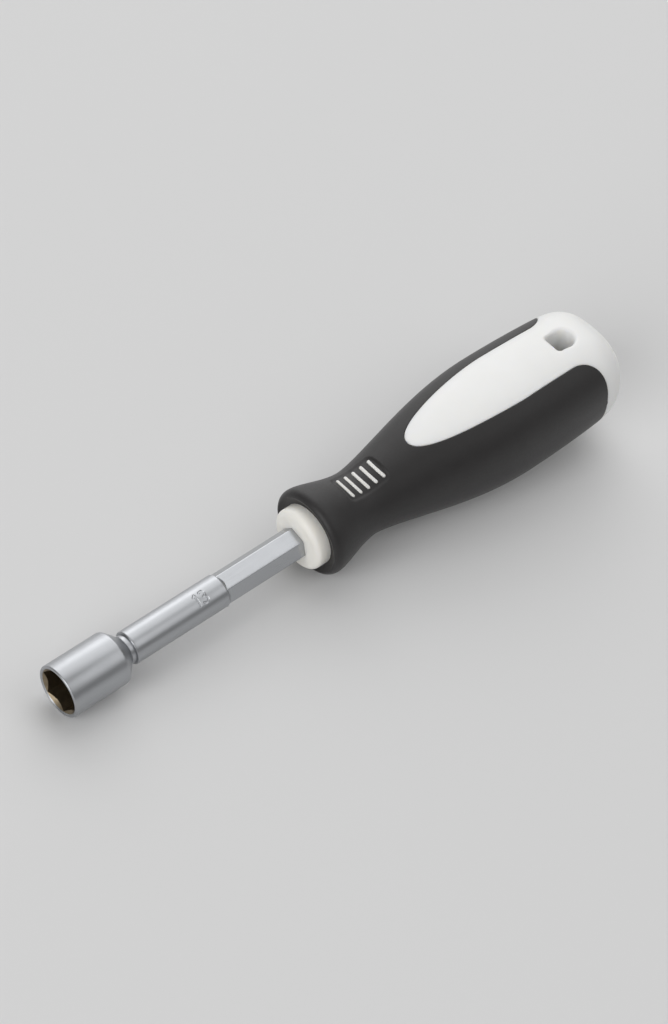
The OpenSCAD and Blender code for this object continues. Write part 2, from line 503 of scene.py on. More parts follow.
@dataclass(frozen=True)
class Moulding:
    """Moulded plastic or rubber: two shades that run softly into each other, under a fine spark-eroded skin.

    The skin is finer on a real tool, and is drawn this coarse to show in the render.
    """

    name: str
    shades: tuple[str, str]
    mottle: Pattern
    skin: Pattern
    rough: float
    rough_swing: float
    relief: float
    relief_mm: float

    def extras(self) -> dict[str, Any]:
        """Further inputs of the shader."""
        return {}

    def material(self) -> bpy.types.Material:
        """Builds the material.

        Returns:
            The material.
        """
        material, tree, shader = blank_material(self.name)
        place = add_node(tree, "ShaderNodeTexCoord").outputs["Object"]
        mottle, skin = (
            add_node(tree, NOISE, {"Vector": place, "Scale": per_mm(size), "Detail": detail})
            for size, detail in (self.mottle, self.skin)
        )
        first, second = (linear(shade) for shade in self.shades)
        colour = add_node(tree, MIX, {"Factor": mottle, 6: first, 7: second}, data_type="RGBA").outputs[2]
        low = self.rough - self.rough_swing / 2.0
        rough = add_node(tree, MATH, {0: skin, 1: self.rough_swing, 2: low}, operation="MULTIPLY_ADD")
        bump = add_node(
            tree, "ShaderNodeBump", {"Height": skin, "Strength": self.relief, "Distance": self.relief_mm * MM}
        )
        plug(tree, shader, {"Base Color": colour, "Roughness": rough, "Normal": bump, **self.extras()})
        return material


@dataclass(frozen=True)
class MouldedPlastic(Moulding):
    """Moulded polypropylene: it gives the eye an even pale colour, faintly milky and lit from within."""

    mottle: Pattern = (9.0, 3.0)
    skin: Pattern = (0.45, 3.0)
    rough: float = 0.42
    rough_swing: float = 0.12
    relief: float = 0.12
    relief_mm: float = 0.03
    milky: float = 0.5
    glow_mm: float = 3.0
    glow_reach: tuple[float, float, float] = (1.0, 0.95, 0.85)

    def extras(self) -> dict[str, Any]:
        """Light from within, which reaches a little farther in red than in blue."""
        glow = {"Subsurface Scale": self.glow_mm * MM, "Subsurface Radius": self.glow_reach}
        return {"Subsurface Weight": self.milky, **glow}


@dataclass(frozen=True)
class SoftGrip(Moulding):
    """Black matt thermoplastic rubber: it gives the eye a dull dark skin with broad soft highlights."""

    name: str = "moulded_black_rubber"
    shades: tuple[str, str] = ("1A1818", "232121")
    mottle: Pattern = (5.0, 4.0)
    skin: Pattern = (0.7, 2.0)
    rough: float = 0.52
    rough_swing: float = 0.16
    relief: float = 0.4
    relief_mm: float = 0.05
    bloom: float = 0.08
    bloom_rough: float = 0.5

    def extras(self) -> dict[str, Any]:
        """Faint bloom at grazing angles."""
        return {"Sheen Weight": self.bloom, "Sheen Roughness": self.bloom_rough}


def dress(piece: bpy.types.Object, material: bpy.types.Material, node: str) -> None:
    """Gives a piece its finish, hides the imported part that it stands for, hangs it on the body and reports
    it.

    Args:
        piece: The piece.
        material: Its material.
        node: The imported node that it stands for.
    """
    piece.data.materials.append(material)
    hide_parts(node)
    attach(piece, BODY)
    LOG.info("%s: %d faces, for %s", piece.name, len(piece.data.polygons), node)


# The handle's form


@dataclass(frozen=True)
class HandleForm:
    """Outer form of the handle: superellipse sections along flare, waist, palm swell and rear end.

    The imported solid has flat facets, whose middles lie inside the curve by the share that facet leaves.
    """

    front: float = 96.0
    length: float = 120.46
    lip_w: float = 26.0
    flare_w: float = 29.4
    flare_at: float = 2.5
    waist_w: float = 22.0
    waist_at: float = 20.5
    palm_w: float = 39.0
    palm_at: float = 78.0
    palm_flat: float = 0.96
    palm_square: float = 2.4
    tail_w: float = 35.0
    tail_round: float = 17.0
    tail_full: float = 4.0
    flare_skew: float = 0.85
    palm_skew: float = 0.75
    grip_wall: float = 2.8
    facet: float = 0.997
    halvings: int = 44
    hair: float = 1e-7

    def swell(self, h: Array) -> Array:
        """Share of the way from the round waist to the squarish palm."""
        way = np.clip((h - self.waist_at) / (self.palm_at - self.waist_at), 0.0, 1.0)
        return ease(way ** self.palm_skew)

    def half_width(self, h: Array) -> Array:
        """Half the width: quarter ellipse at the lip, smooth steps to waist and palm, superellipse behind.

        Args:
            h: Distances from the front face.

        Returns:
            Half widths.
        """
        out = np.sqrt(np.clip(1.0 - (1.0 - h / self.flare_at) ** 2, 0.0, None))
        lip = self.lip_w + (self.flare_w - self.lip_w) * out
        to_waist = np.clip((h - self.flare_at) / (self.waist_at - self.flare_at), 0.0, 1.0) ** self.flare_skew
        neck = self.flare_w + (self.waist_w - self.flare_w) * ease(to_waist)
        palm = self.waist_w + (self.palm_w - self.waist_w) * self.swell(h)
        to_end = np.clip((h - self.palm_at) / (self.length - self.palm_at), 0.0, None)
        in_round = np.clip((h - self.length + self.tail_round) / self.tail_round, 0.0, 1.0)
        rounding = np.clip(1.0 - in_round ** self.tail_full, 0.0, None) ** (1.0 / self.tail_full)
        tail = (self.palm_w + (self.tail_w - self.palm_w) * to_end ** 2) * rounding
        stages = [h < self.flare_at, h < self.waist_at, h < self.palm_at]
        return np.select(stages, [lip, neck, palm], tail) / 2.0 * self.facet

    def half_height(self, h: Array) -> Array:
        """Half the height, a little less than half the width at the palm."""
        return self.half_width(h) * (1.0 + (self.palm_flat - 1.0) * self.swell(h))

    def power(self, h: Array) -> Array:
        """Exponent of the section's superellipse, from a circle's 2 at the waist."""
        return 2.0 + (self.palm_square - 2.0) * self.swell(h)

    def skin(self, h: Array, angle: Array) -> Array:
        """Points of the outer form: y = W bend(cos a), z = V bend(sin a).

        Args:
            h: Distances from the front face.
            angle: Angles about the axis, from the far side towards the upper face.

        Returns:
            Points (s, y, z).
        """
        n = self.power(h)
        y = self.half_width(h) * bend(np.cos(angle), n)
        z = self.half_height(h) * bend(np.sin(angle), n)
        return joined(self.front + h, y, z)

    def angle_at(self, h: Array, y: Array) -> Array:
        """Angle about the axis at which the upper skin has a given y: cos a = (y / W)^(n/2)."""
        share = np.clip(np.abs(y) / self.half_width(h), 0.0, 1.0)
        return np.arccos(share ** (self.power(h) / 2.0))

    def top(self, h: Array, y: Array) -> Array:
        """Height of the upper skin over the axis: V (1 - |y/W|^n)^(1/n).

        Args:
            h: Distances from the front face.
            y: Distances from the middle line.

        Returns:
            Heights.
        """
        n = self.power(h)
        share = np.clip(1.0 - np.clip(np.abs(y) / self.half_width(h), 0.0, 1.0) ** n, 0.0, None)
        return self.half_height(h) * share ** (1.0 / n)

    def core_radius(self, h: Array) -> Array:
        """Radius of the core under the grip: even up to the waist, then the grip's wall inside the form.

        Args:
            h: Distances from the front face.

        Returns:
            Radii.
        """
        waist = self.waist_w / 2.0 - self.grip_wall
        behind = self.half_height(np.maximum(h, self.waist_at)) - self.grip_wall
        return np.where(h <= self.waist_at, waist, behind)

    def out_from(self, centre_h: float, azimuth: Array, latitude: Array) -> Array:
        """Points where rays from a place on the axis leave the form, found by halving the interval.

        Args:
            centre_h: Where on the axis the rays start.
            azimuth: Angles of the rays from the rear end towards the far side.
            latitude: Angles of the rays above the middle plane.

        Returns:
            Points (s, y, z).
        """
        level = np.cos(latitude)
        ray = joined(level * np.cos(azimuth), level * np.sin(azimuth), np.sin(latitude))
        low, high = np.zeros(azimuth.shape), np.full(azimuth.shape, self.palm_w)
        for _ in range(self.halvings):
            middle = (low + high) / 2.0
            h = centre_h + middle * ray[..., 0]
            inside_h = np.minimum(h, self.length - self.hair)
            n = self.power(inside_h)
            y = np.abs(middle * ray[..., 1]) / self.half_width(inside_h)
            z = np.abs(middle * ray[..., 2]) / self.half_height(inside_h)
            inside = (h < self.length) & (y ** n + z ** n < 1.0)
            low, high = np.where(inside, middle, low), np.where(inside, high, middle)
        return ray * low[..., None] + np.array([self.front + centre_h, 0.0, 0.0])


@dataclass(frozen=True)
class Tongue:
    """Outline of the bare tongue from above: blunt tip, nearly straight edges, round turn to the side."""

    form: HandleForm
    tip_at: float = 40.0
    tip_blunt: float = 1.25
    tip_full: float = 0.9
    width: float = 21.4
    wide_at: float = 79.0
    tail_w: float = 20.6
    tail_bare: float = 10.96
    corner: float = 9.5
    corner_turn: float = np.radians(55.0)
    lead_points: int = 500
    corner_points: int = 200
    rear_points: int = 4000

    @property
    def panel_end(self) -> float:
        """Distance of the side panels' rear edge from the front face."""
        return self.form.length - self.tail_bare

    def corner_point(self, turn: Array) -> Array:
        """Points (h, y) on the round turn from the tongue's edge to the panel's rear edge."""
        h = self.panel_end - self.corner * (1.0 - np.sin(turn))
        return joined(h, self.tail_w / 2.0 + self.corner * (1.0 - np.cos(turn)))

    def edge(self, share: Array) -> Array:
        """Points (h, y) from the tip along one edge and into its corner.

        The front is h = wide - (wide - tip) cos(a)^blunt, y = width/2 sin(a)^full.

        Args:
            share: Shares of the edge's length.

        Returns:
            Points of the edge.
        """
        a = quarter(self.lead_points)
        h = self.wide_at - (self.wide_at - self.tip_at) * np.clip(np.cos(a), 0.0, 1.0) ** self.tip_blunt
        lead = joined(h, self.width / 2.0 * np.sin(a) ** self.tip_full)
        corner = self.corner_point(np.linspace(0.0, self.corner_turn, self.corner_points))
        return resampled(np.concatenate([lead, corner]), share)

    def rear_edge(self) -> Array:
        """Rear edge of a panel: the rest of the round turn, as far as the handle's widest line.

        Returns:
            Points (h, y).
        """
        points = self.corner_point(np.linspace(self.corner_turn, RIGHT_ANGLE, self.rear_points))
        inside = points[:, 1] < self.form.half_width(points[:, 0])
        return points[inside]


# Sub-assemblies


@dataclass
class Blade:
    """One steel forging: hexagon socket, shoulder, round barrel and hexagon shank.

    The engraved number's strokes are given in shares of its height from its lower left: the corners of the
    stem, and for each bow its middle and its radii, a negative one turning it over. Both bows run through the
    angles of bow_turn, in degrees.
    """

    tool: ToolFrame
    finish: SatinChrome
    mouth: float = 0.01
    mouth_chamfer: float = 0.35
    lead_in: float = 1.4
    lead_slope: float = 1.1
    nut_af: float = 13.2
    nut_corner: float = 0.99
    socket_r: float = 8.75
    socket_len: float = 20.5
    socket_edge: float = 0.5
    shoulder_round: float = 1.4
    hex_depth: float = 12.0
    stud_r: float = 4.5
    stud_edge: float = 0.5
    stud_end: float = 20.0
    drill_tip: float = 1.2
    groove_at: float = 24.5
    groove_r: float = 4.7
    groove_round: float = 0.8
    barrel_at: float = 26.0
    barrel_lead: float = 1.0
    barrel_r: float = 5.5
    barrel_end: float = 63.0
    barrel_cone: float = 2.0
    barrel_edge: float = 0.5
    shank_af: float = 9.4
    shank_corner: float = 0.985
    tang_end: float = 156.25
    turn: float = np.radians(-16.0)
    sharp_deg: float = 28.0
    mark_mid: float = 52.5
    mark_angle: float = np.radians(-22.0)
    mark_high: float = 4.0
    mark_stroke: float = 0.62
    mark_depth: float = 0.2
    mark_slope: float = 0.24
    mark_reach: float = 3.2
    stem: tuple[tuple[float, float], ...] = ((0.0, 0.8), (0.2, 1.0), (0.2, 0.0))
    bows: tuple[tuple[float, float, float, float], ...] = (
        (0.78, 0.76, 0.22, 0.24),
        (0.78, 0.26, 0.25, -0.26),
    )
    bow_turn: tuple[float, float] = (140.0, -90.0)
    stem_points: int = 160
    bow_points: int = 120
    columns: int = 240
    fine_columns: int = 96
    least_gap: float = 0.1
    row_gap: float = 0.1
    row_near: float = 0.4
    shank_rows: int = 30
    cone_rows: int = 44
    barrel_rows: tuple[int, int, int, int] = (0, 6, 100, 12)
    lead_rows: int = 12
    lip_rows: int = 3

    @property
    def mouth_r(self) -> float:
        """Radius of the socket's opening, at the outside of its lead-in cone."""
        return corner_radius(self.nut_af) + self.mouth_chamfer

    def angles(self) -> Array:
        """Angles of the columns from a corner of the hexagon: even all round, and closer at the number.

        Returns:
            Rising angles.
        """
        even = np.arange(self.columns) * FULL_TURN / self.columns
        reach = self.mark_reach / self.barrel_r
        fine = self.mark_angle + self.turn + np.linspace(-reach, reach, self.fine_columns)
        places = np.sort(np.concatenate([even, np.mod(fine, FULL_TURN)]))
        gap = np.diff(places, prepend=places[-1] - FULL_TURN)
        return places[gap > self.least_gap * even[1]]

    def strokes(self) -> Array:
        """Middle lines of a plain 13: a stem with a flag, and two bows as arcs of ellipses.

        Returns:
            Points (along, across) about the number's middle.
        """
        a = np.radians(np.linspace(*self.bow_turn, self.bow_points))
        lines = [resampled(np.array(self.stem), np.linspace(0.0, 1.0, self.stem_points))]
        for along, across, wide, high in self.bows:
            lines.append(joined(along + wide * np.cos(a), across + high * np.sin(a)))
        return (np.concatenate(lines) - 0.5) * self.mark_high

    def engraved(self, s: Array) -> Array:
        """Depth of the number, wrapped round the barrel: a smooth step across the edge of each stroke.

        Args:
            s: Stations, one a row.

        Returns:
            Depths, rows by columns.
        """
        wrap = np.mod(self.angles() - self.turn - self.mark_angle + np.pi, FULL_TURN) - np.pi
        places = joined((s - self.mark_mid)[:, None], wrap * self.barrel_r)
        off = nearest(places.reshape(-1, 2), self.strokes()).reshape(places.shape[:2])
        return self.mark_depth * ease((self.mark_stroke / 2.0 - off) / self.mark_slope + 0.5)

    def shank(self) -> tuple[Array, Array]:
        """Shank from the tang's end to the barrel: radius = max(cone of the barrel's end, hexagon).

        Returns:
            Stations, and radii by row and column.
        """
        cone_end = self.barrel_end - self.barrel_cone
        s = stretches(
            (self.tang_end, 0), (self.barrel_end + self.row_near, self.shank_rows), (cone_end, self.cone_rows)
        )
        cone = np.interp(
            -s, [-self.barrel_end, -cone_end], [self.shank_af / 2.0 - self.barrel_edge, self.barrel_r]
        )
        r = np.maximum(cone[:, None], hexagon(self.angles(), self.shank_af, self.shank_corner))
        r[0] = 0.0
        s[1] = s[0]
        return s, r

    def outside(self) -> tuple[Array, Array]:
        """Outside from the tang's end to the mouth: shank, barrel with its number, and the turned front.

        Returns:
            Points and states of the surface.
        """
        shank_s, shank = self.shank()
        barrel_from = self.barrel_at + self.barrel_lead
        number = self.mark_mid + self.mark_reach, self.mark_mid - self.mark_reach
        stops = (shank_s[-1] - self.row_gap, *number, barrel_from)
        barrel_s = stretches(*zip(stops, self.barrel_rows))
        turned = rounded([
            (barrel_from - self.row_gap, self.barrel_r, 0.0),
            (self.barrel_at, self.barrel_r, self.barrel_edge),
            (self.barrel_at, self.groove_r, 0.0),
            (self.groove_at, self.groove_r, self.groove_round),
            (self.socket_len, self.socket_r, self.shoulder_round),
            (self.mouth, self.socket_r, self.socket_edge),
            (self.mouth, self.mouth_r, 0.0),
        ])
        around = self.angles() - self.turn
        s = np.concatenate([shank_s, barrel_s, turned[:, 0]])
        r = spread(len(around), shank, self.barrel_r - self.engraved(barrel_s), turned[:, 1:])
        on_flats = s[:, None] > self.barrel_end - self.barrel_cone / 2.0
        zone = np.where(on_flats, Wear.DRAWN.value, Wear.SATIN.value)
        return revolved(s, r, around), spread(len(around), zone)

    def inside(self) -> tuple[Array, Array]:
        """Inside of the socket: lead-in cone, hexagon, step, stud hole and drill point.

        Returns:
            Points from the mouth to the bottom, and states of the surface.
        """
        hexed = hexagon(self.angles(), self.nut_af, self.nut_corner)
        lead = stretches((self.mouth, 0), (self.lead_in, self.lead_rows))
        cone = np.maximum((self.mouth_r - lead * self.lead_slope)[:, None], hexed)
        stud = np.array([[self.stud_r + self.stud_edge], [self.stud_r], [self.stud_r], [0.0]])
        deep = self.hex_depth
        hex_s = [deep / 2.0, deep - self.row_near, deep]
        stud_s = [deep + self.row_gap, deep + self.stud_edge, self.stud_end - self.drill_tip, self.stud_end]
        s = np.concatenate([lead, hex_s, stud_s])
        r = spread(len(hexed), cone, np.repeat(hexed[None], len(hex_s), axis=0), stud)
        zone = np.full(r.shape, Wear.BARE.value)
        zone[:self.lip_rows] = Wear.LIP.value
        return revolved(s, r, self.angles() - self.turn), zone

    def build(self) -> None:
        """Builds the blade as one grid, from the tang's end round the mouth to the bottom, and dresses it."""
        outer, outer_zone = self.outside()
        inner, inner_zone = self.inside()
        plan = MeshPlan()
        plan.grid(
            np.concatenate([outer, inner[1:]]),
            ring_columns=True,
            value=np.concatenate([outer_zone, inner_zone[1:]]),
        )
        piece = plan.build("socket_blade", self.tool, self.sharp_deg, WEAR_ZONE)
        dress(piece, self.finish.material(), "blade")


@dataclass
class Core:
    """Inner moulding where it shows: the collar in front of the grip and the bars at the waist."""

    tool: ToolFrame
    form: HandleForm
    blade: Blade
    finish: MouldedPlastic
    gap: float = 0.06
    hole_corner: float = 0.99
    collar_r: float = 10.3
    collar_len: float = 4.75
    collar_round: float = 2.3
    collar_dome: float = 0.5
    collar_sunk: float = 2.0
    collar_sharp_deg: float = 40.0
    bar_count: int = 5
    bar_pitch: float = 3.1
    bar_w: float = 1.05
    bar_len: float = 8.2
    bar_mid: float = 21.0
    bar_round: float = 0.3
    bar_root: float = 1.4
    bar_bow: float = 0.47
    bar_sharp_deg: float = 50.0
    columns: int = 192
    face_rows: int = 16
    edge_rows: int = 13
    side_rows: int = 4
    bar_points: int = 88
    bar_rows: int = 5
    arc_steps: int = 30

    def collar(self) -> bpy.types.Object:
        """Ring whose front blends from the shank's hexagon to a domed disc with a quarter ellipse as edge.

        Returns:
            The collar.
        """
        angle = np.arange(self.columns) * FULL_TURN / self.columns
        hole = hexagon(angle, self.blade.shank_af + 2.0 * self.gap, self.hole_corner)
        face = np.linspace(0.0, 1.0, self.face_rows)
        flat_r = self.collar_r - self.collar_round
        at = self.form.front - self.collar_len
        a = quarter(self.edge_rows + 1)[1:]
        edge_s = at + self.collar_dome + (self.collar_round - self.collar_dome) * (1.0 - np.cos(a))
        rear = self.form.front + self.collar_sunk
        side_s = np.linspace(edge_s[-1], rear, self.side_rows + 1)[1:]
        s = np.concatenate([at + self.collar_dome * face ** 2, edge_s, side_s, [rear, (rear + at) / 2.0]])
        r = spread(
            self.columns,
            hole + (flat_r - hole) * face[:, None],
            (flat_r + self.collar_round * np.sin(a))[:, None],
            np.full((self.side_rows, 1), self.collar_r),
            np.repeat(hole[None], 2, axis=0),
        )
        plan = MeshPlan()
        plan.grid(revolved(s, r, angle - self.blade.turn), ring_rows=True, ring_columns=True)
        return plan.build("collar", self.tool, self.collar_sharp_deg)

    def stadium(self) -> Array:
        """Outline of a bar seen from above: two straight sides and two half circles.

        Returns:
            Points (along the handle, across it), evenly spaced, about the bar's middle.
        """
        tip = self.bar_w / 2.0
        counts = [self.arc_steps + 1, 2 * self.arc_steps + 1, self.arc_steps + 1]
        arcs = zip((-0.5, 0.0, 1.0), (0.0, 1.0, 1.5), counts)
        a = np.concatenate([np.linspace(start, end, count) for start, end, count in arcs]) * np.pi
        ends = np.repeat([-1.0, 1.0, -1.0], counts) * (self.bar_len / 2.0 - tip)
        path = joined(tip * np.cos(a), ends + tip * np.sin(a))
        return resampled(path, np.arange(self.bar_points) / self.bar_points)

    def bars(self) -> bpy.types.Object:
        """Rows of small bars: a stadium drawn in by a round edge, bowed and laid over the waist's skin.

        The bow moves a point by b (u^2 - 1/3), u being -1 to 1 across, so the bar's mean place stays.

        Returns:
            All bars as one piece.
        """
        turn = quarter(self.bar_rows + 1)[1:]
        drawn = np.concatenate([[0.0, 0.0, 0.0], 1.0 - np.cos(turn), [1.0]]) * self.bar_round
        top = self.bar_round * (1.0 - np.sin(turn))
        drop = np.concatenate([[self.bar_root, self.bar_root, self.bar_round], top, [0.0]])
        inset = 1.0 - joined(drawn / (self.bar_w / 2.0), drawn / (self.bar_len / 2.0))
        inset[[0, -1], 0] = 0.0
        along, across = np.moveaxis(self.stadium() * inset[:, None], -1, 0)
        bowed = along + self.bar_bow * ((across / self.bar_len * 2.0) ** 2 - 1.0 / 3.0)
        plan = MeshPlan()
        for face in Face:
            for i in range(self.bar_count):
                h = self.bar_mid + (i - (self.bar_count - 1) / 2.0) * self.bar_pitch + bowed
                z = self.form.top(h, across) - drop[:, None]
                plan.grid(joined(self.form.front + h, across, z * face.value), ring_columns=True)
        return plan.build("waist_bars", self.tool, self.bar_sharp_deg)

    def build(self) -> None:
        """Builds and dresses the collar and the bars."""
        material = self.finish.material()
        for piece in (self.collar(), self.bars()):
            dress(piece, material, "handle_core")


@dataclass
class Shell:
    """Outer moulding: both tongues and the rear end, with the hang hole through them."""

    tool: ToolFrame
    form: HandleForm
    tongue: Tongue
    finish: MouldedPlastic
    hole_in: float = 16.16
    hole_len: float = 8.6
    hole_w: float = 7.4
    hole_corner: float = 1.5
    hole_round: float = 1.3
    edge_round: float = 0.3
    edge_fade: float = 0.05
    sharp_deg: float = 40.0
    edge_columns: int = 150
    rear_columns: int = 111
    tunnel_rows: int = 7
    round_rows: int = 8
    fill_rows: int = 42
    side_rows: int = 28
    arc_steps: int = 30
    hole_points: int = 600

    @property
    def hole_at(self) -> float:
        """Distance of the hole's middle from the front face."""
        return self.form.length - self.hole_in

    def from_hole(self, points: Array) -> tuple[Array, Array]:
        """Azimuths from the rear end, and distances, at which the hole's middle sees points (h, y)."""
        h, y = points[..., 0] - self.hole_at, points[..., 1]
        return np.arctan2(y, h), np.hypot(h, y)

    def around_hole(self, azimuth: Array, distance: Array) -> Array:
        """Points (h, y) at azimuths from the rear end and distances from the hole's middle."""
        return joined(self.hole_at + distance * np.cos(azimuth), distance * np.sin(azimuth))

    def latitude(self, points: Array) -> Array:
        """Angles above the middle plane at which the hole's middle sees the upper skin at points (h, y)."""
        return np.arctan2(self.form.top(points[..., 0], points[..., 1]), self.from_hole(points)[1])

    def hole_radius(self, azimuth: Array) -> Array:
        """Distance of the hole's outline from its middle: straight in front, a half circle at the rear.

        Args:
            azimuth: Angles from the rear end.

        Returns:
            Distances.
        """
        half, front = self.hole_w / 2.0, -self.hole_len / 2.0
        rear = self.hole_len / 2.0 - half
        corners = [(rear, half, 0.0), (front, half, self.hole_corner), (front, 0.0, 0.0)]
        a = quarter(2 * self.arc_steps)
        arc = joined(rear + half * np.cos(a), half * np.sin(a))
        path = np.concatenate([arc, rounded(corners, steps=self.arc_steps)])
        x, y = resampled(path, np.linspace(0.0, 1.0, self.hole_points)).T
        return np.interp(np.abs(azimuth), np.arctan2(y, x), np.hypot(x, y))

    def outer_loop(self) -> tuple[Array, Array, Array, Array]:
        """Closed outline of the upper sheet: along one edge of the tongue, round the rear and back.

        The rear follows the handle's outline, drawn in towards the hole's middle until it meets the corners.

        Returns:
            Points (h, y), azimuths on the hole, how far each column is part of the tongue's edge, and the
            place of each rear column from 1 at the far corner to -1 at the near one.
        """
        share = np.linspace(0.0, 1.0, self.edge_columns)
        edge = self.tongue.edge(share)
        turn, corner = self.from_hole(edge[-1])
        place = np.linspace(1.0, -1.0, self.rear_columns + 2)
        azimuth = place * turn
        outline = self.form.out_from(self.hole_at, azimuth, np.zeros(len(place)))
        reach = self.from_hole(outline - [self.form.front, 0.0, 0.0])[1]
        rear = self.around_hole(azimuth, corner / reach[0] * reach)[1:-1]
        back = edge[:0:-1] * np.array([1.0, -1.0])
        on_edge = 1.0 - ease((share - (1.0 - self.edge_fade)) / self.edge_fade)
        on_hole = np.pi + (turn - np.pi) * share
        loop = np.concatenate([edge, rear, back])
        azimuths = np.concatenate([on_hole, azimuth[1:-1], -on_hole[:0:-1]])
        rolled = np.concatenate([on_edge, np.zeros(self.rear_columns), on_edge[:0:-1]])
        return loop, azimuths, rolled, place

    def rear_band(self, loop: Array, place: Array, level: Array) -> Array:
        """Side of the rear end between the upper sheet and the middle plane, by rays from the hole's middle.

        Args:
            loop: Points (h, y) where the columns leave the upper sheet.
            place: Place of each column from 1 at the far corner to -1 at the near one.
            level: Shares of the columns' latitudes, from 1 down to 0.

        Returns:
            Points, one row for each level.
        """
        edge = self.tongue.rear_edge()
        latitude = self.latitude(edge)
        order = np.argsort(latitude)
        side = np.interp(level * latitude.max(), latitude[order], self.from_hole(edge)[0][order])
        return self.form.out_from(self.hole_at, side[:, None] * place, level[:, None] * self.latitude(loop))

    def sheet(self, loop: Array, azimuth: Array, rolled: Array) -> Array:
        """Upper sheet: columns run straight from the hole to the loop, with a quarter circle at both ends.

        Args:
            loop: Points (h, y) of the outer outline.
            azimuth: Angles of the columns on the hole's outline.
            rolled: How far each column turns down at its outer end.

        Returns:
            Points from the hole outwards.
        """
        hole = self.around_hole(azimuth, self.hole_radius(azimuth))
        span = np.linalg.norm(loop - hole, axis=1)
        turn = quarter(self.round_rows)[:, None]
        inward, down = 1.0 - np.sin(turn), 1.0 - np.cos(turn)
        fill = np.linspace(0.0, 1.0, self.fill_rows + 2)[1:-1, None]
        between = self.hole_round + (span - self.hole_round - self.edge_round) * fill
        offset = spread(len(span), self.hole_round * inward[::-1], between, span - self.edge_round * inward)
        level = np.zeros((self.fill_rows, 1))
        drop = spread(len(span), self.hole_round * down[::-1], level, self.edge_round * down * rolled)
        h, y = np.moveaxis(hole + (loop - hole) / span[:, None] * offset[..., None], -1, 0)
        return joined(h + self.form.front, y, self.form.top(h, y) - drop)

    def build(self) -> None:
        """Builds and dresses the shell: up the hang hole, over the sheet, down the side, back underneath."""
        loop, azimuth, rolled, place = self.outer_loop()
        sheet = self.sheet(loop, azimuth, rolled)
        rise = np.linspace(0.0, 1.0, self.tunnel_rows + 1)[:-1]
        level = np.linspace(1.0, 0.0, self.side_rows + 1)[1:]
        tunnel = sheet[:1] * joined(1.0, 1.0, rise)[:, None]
        side = sheet[-1:] * joined(1.0, 1.0, level)[:, None]
        rear = slice(self.edge_columns - 1, self.edge_columns + self.rear_columns + 1)
        side[:, rear] = self.rear_band(loop[rear], place, level)
        upper = np.concatenate([tunnel, sheet, side])
        plan = MeshPlan()
        plan.grid(np.concatenate([upper, upper[-2:0:-1] * MIRROR_Z]), ring_rows=True, ring_columns=True)
        piece = plan.build("handle_shell_white", self.tool, self.sharp_deg)
        dress(piece, self.finish.material(), "handle_shell")


